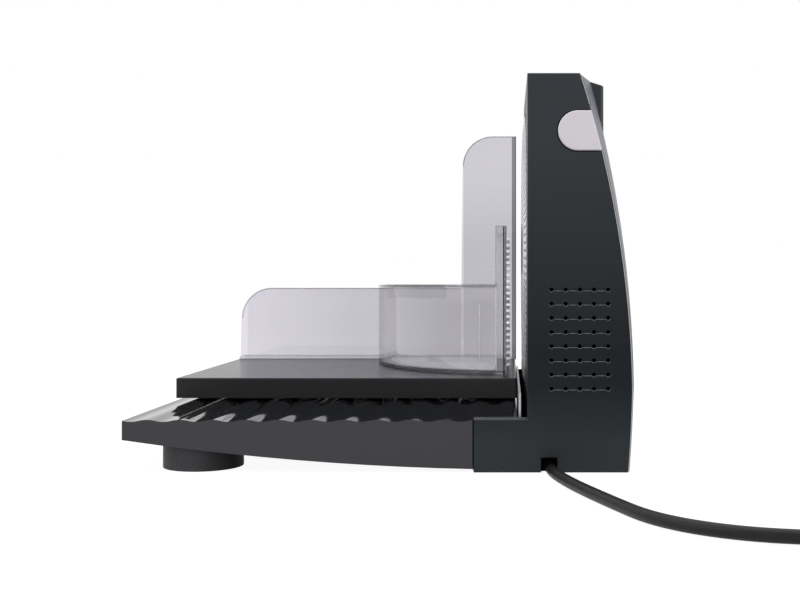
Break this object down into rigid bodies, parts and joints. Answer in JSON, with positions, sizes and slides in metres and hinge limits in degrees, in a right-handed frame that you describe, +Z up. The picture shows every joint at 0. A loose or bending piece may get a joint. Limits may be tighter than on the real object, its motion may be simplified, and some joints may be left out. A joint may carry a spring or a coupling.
{
  "type": "food slicer",
  "caption": "Electric food slicer: upright motor housing with a round serrated blade, sliding food table with clear guard and pusher, thickness knob and mains cord.",
  "frame": {"origin": "middle of the machine's footprint at the bench, cord left out", "axes": "+X from the food table to the outer side of the motor housing, +Y from the vented end to the user, +Z up"},
  "size_m": [0.5026, 0.531, 0.25],
  "materials": {
    "housing_plastic": "satin charcoal",
    "band_plastic": "satin silver grey",
    "base_gloss": "gloss black",
    "foot_rubber": "matte",
    "screw_steel": "bright",
    "bush_brass": "turned",
    "motor_steel": "satin",
    "magnet_iron": "dull",
    "frame_aluminium": "die cast",
    "inner_plastic": "moulded",
    "cord_rubber": "satin black",
    "plug_plastic": "satin black",
    "pin_brass": "bright",
    "blade_steel": "circular grain",
    "gear_plastic": "natural",
    "button_plastic": "pale grey satin",
    "gauge_aluminium": "anodised",
    "knob_plastic": "satin",
    "table_gloss": "gloss dark grey",
    "guard_clear": "clear plastic",
    "pusher_smoke": "clear plastic"
  },
  "bodies": {
    "housing": {"main_housing": "housing_plastic", "edge_band": "band_plastic", "motor_cover": "housing_plastic", "base": "base_gloss", "suction_feet": "foot_rubber", "rest_pads": "foot_rubber", "base_screws": "screw_steel", "cover_screws": "screw_steel", "spindle_bush": "bush_brass", "motor_can": "motor_steel", "motor_magnets": "magnet_iron", "gear_frame": "frame_aluminium", "micro_switch": "inner_plastic", "cord_gland": "cord_rubber", "gauge_column": "housing_plastic", "guide_rail": "gauge_aluminium", "cord": "cord_rubber", "cord_coil": "cord_rubber", "plug_body": "plug_plastic", "plug_pins": "pin_brass"},
    "blade": {"blade": "blade_steel", "blade_spindle": "motor_steel", "drive_gear": "gear_plastic", "blade_cap": "inner_plastic"},
    "rotor": {"armature": "motor_steel", "worm": "motor_steel", "motor_fan": "inner_plastic"},
    "button": {"power_button": "button_plastic", "button_spring": "screw_steel"},
    "gauge": {"gauge_plate": "gauge_aluminium", "gauge_carrier": "inner_plastic", "gauge_rods": "motor_steel"},
    "knob": {"cam_drum": "gear_plastic", "thickness_knob": "knob_plastic"},
    "carriage": {"food_table": "table_gloss", "left_shoe": "inner_plastic", "right_shoe": "inner_plastic", "clear_guard": "guard_clear", "guard_screws": "screw_steel"},
    "pusher": {"pusher_hood": "pusher_smoke", "spike_plate": "pusher_smoke"}
  },
  "joints": [
    {"name": "blade_spin", "type": "hinge", "parent": "housing", "child": "blade", "pos_m": [0.0865, -0.053, 0.142], "axis": [1, 0, 0], "continuous": true},
    {"name": "rotor_spin", "type": "hinge", "parent": "housing", "child": "rotor", "pos_m": [0.117, -0.053, 0.098], "axis": [0, 1, 0], "continuous": true},
    {"name": "carriage_slide", "type": "slide", "parent": "housing", "child": "carriage", "axis": [0, 1, 0], "range_m": [-0.16, 0]},
    {"name": "pusher_slide", "type": "slide", "parent": "carriage", "child": "pusher", "axis": [1, 0, 0], "range_m": [-0.115, 0.003]},
    {"name": "knob_turn", "type": "hinge", "parent": "housing", "child": "knob", "pos_m": [0.14, 0.063, 0.13], "axis": [-1, 0, 0], "range_deg": [0, 300.5]},
    {"name": "gauge_slide", "type": "slide", "parent": "housing", "child": "gauge", "axis": [1, 0, 0], "range_m": [0, 0.015]},
    {"name": "button_press", "type": "slide", "parent": "housing", "child": "button", "axis": [0, 1, 0], "range_m": [0, 0.0035], "stiffness_N_per_m": 600, "springref_m": -0.002, "deforming": ["button_spring"]}
  ],
  "couplings": [
    {"joint": "rotor_spin", "follows": "blade_spin", "ratio": -60},
    {"joint": "knob_turn", "follows": "gauge_slide", "rad_per_m": 349.07}
  ]
}
